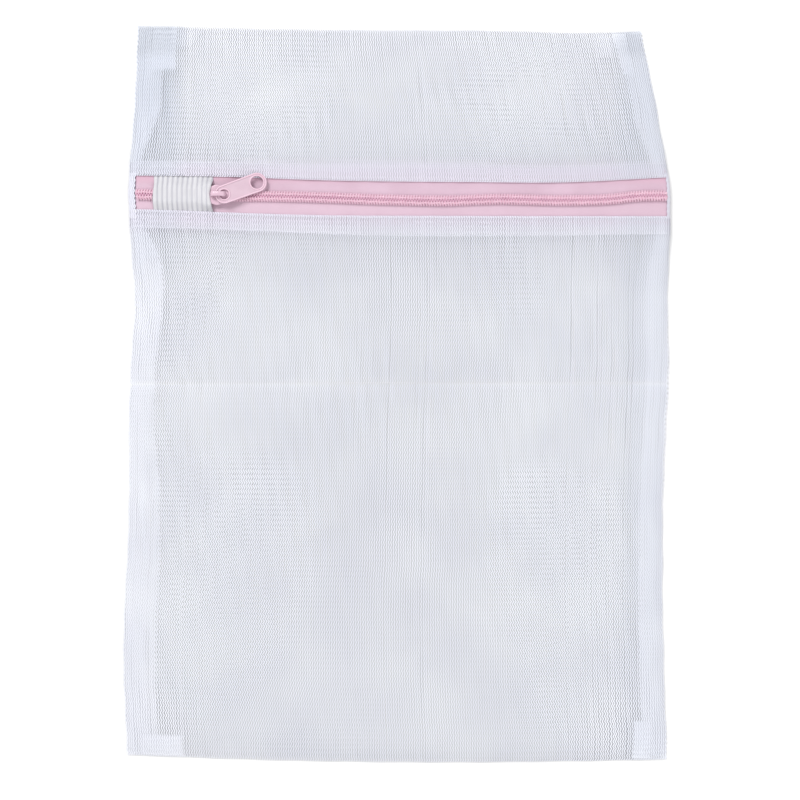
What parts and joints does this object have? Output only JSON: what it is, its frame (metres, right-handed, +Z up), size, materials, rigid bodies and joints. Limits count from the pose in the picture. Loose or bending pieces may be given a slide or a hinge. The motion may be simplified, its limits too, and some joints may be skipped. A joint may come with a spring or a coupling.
{
  "type": "mesh laundry bag",
  "caption": "Flat rectangular mesh wash bag, closed along one side by a pink coil zip whose slider parks against an elastic cover, with a folding pull and a crease to fold it in half.",
  "frame": {"origin": "middle of the bag's outline, on the face that it rests on", "axes": "+X along the zip from the elastic cover to the open end, +Y towards the fold nearest the zip, +Z up out of the front of the bag"},
  "size_m": [0.305, 0.408, 0.0125],
  "materials": {
    "mesh_cloth": "fine warp-knitted white polyester mesh, see-through",
    "sewing_thread": "spun white polyester thread",
    "zip_tape": "woven pale pink polyester tape",
    "nylon_coil": "pink nylon monofilament",
    "coil_cord": "twisted pale pink filler cord",
    "elastic": "ribbed white elastic",
    "pink_paint": "zinc casting with glossy pale pink paint",
    "pink_plastic": "pale pink coated pull, satin"
  },
  "bodies": {
    "base_half": {"mesh_cloth_base_half": "mesh_cloth", "left_allowance_base_half": "mesh_cloth", "right_allowance_base_half": "mesh_cloth", "left_overlock_base_half": "sewing_thread", "right_overlock_base_half": "sewing_thread", "left_seam_thread_base_half": "sewing_thread", "right_seam_thread_base_half": "sewing_thread"},
    "zip_half": {"mesh_cloth_zip_half": "mesh_cloth", "hem_ply_above_zip": "mesh_cloth", "hem_ply_below_zip": "mesh_cloth", "hem_stitching_above_zip": "sewing_thread", "hem_stitching_below_zip": "sewing_thread", "left_allowance_zip_half": "mesh_cloth", "right_allowance_zip_half": "mesh_cloth", "left_overlock_zip_half": "sewing_thread", "right_overlock_zip_half": "sewing_thread", "left_seam_thread_zip_half": "sewing_thread", "right_seam_thread_zip_half": "sewing_thread", "zip_tape_above": "zip_tape", "zip_tape_below": "zip_tape", "zip_coil_above": "nylon_coil", "zip_coil_below": "nylon_coil", "coil_cord_above": "coil_cord", "coil_cord_below": "coil_cord", "elastic_garage": "elastic"},
    "slider": {"slider_body": "pink_paint"},
    "pull": {"pull_tab": "pink_plastic"}
  },
  "joints": [
    {"name": "crease_fold", "type": "hinge", "parent": "base_half", "child": "zip_half", "pos_m": [0, 0.0065, 0.0061], "axis": [1, 0, 0], "range_deg": [0, 165]},
    {"name": "slider_travel", "type": "slide", "parent": "zip_half", "child": "slider", "axis": [1, 0, 0], "range_m": [0, 0.24]},
    {"name": "pull_flip", "type": "hinge", "parent": "slider", "child": "pull", "pos_m": [-0.0999, 0.1103, 0.0099], "axis": [0, -1, 0], "range_deg": [0, 168]}
  ]
}
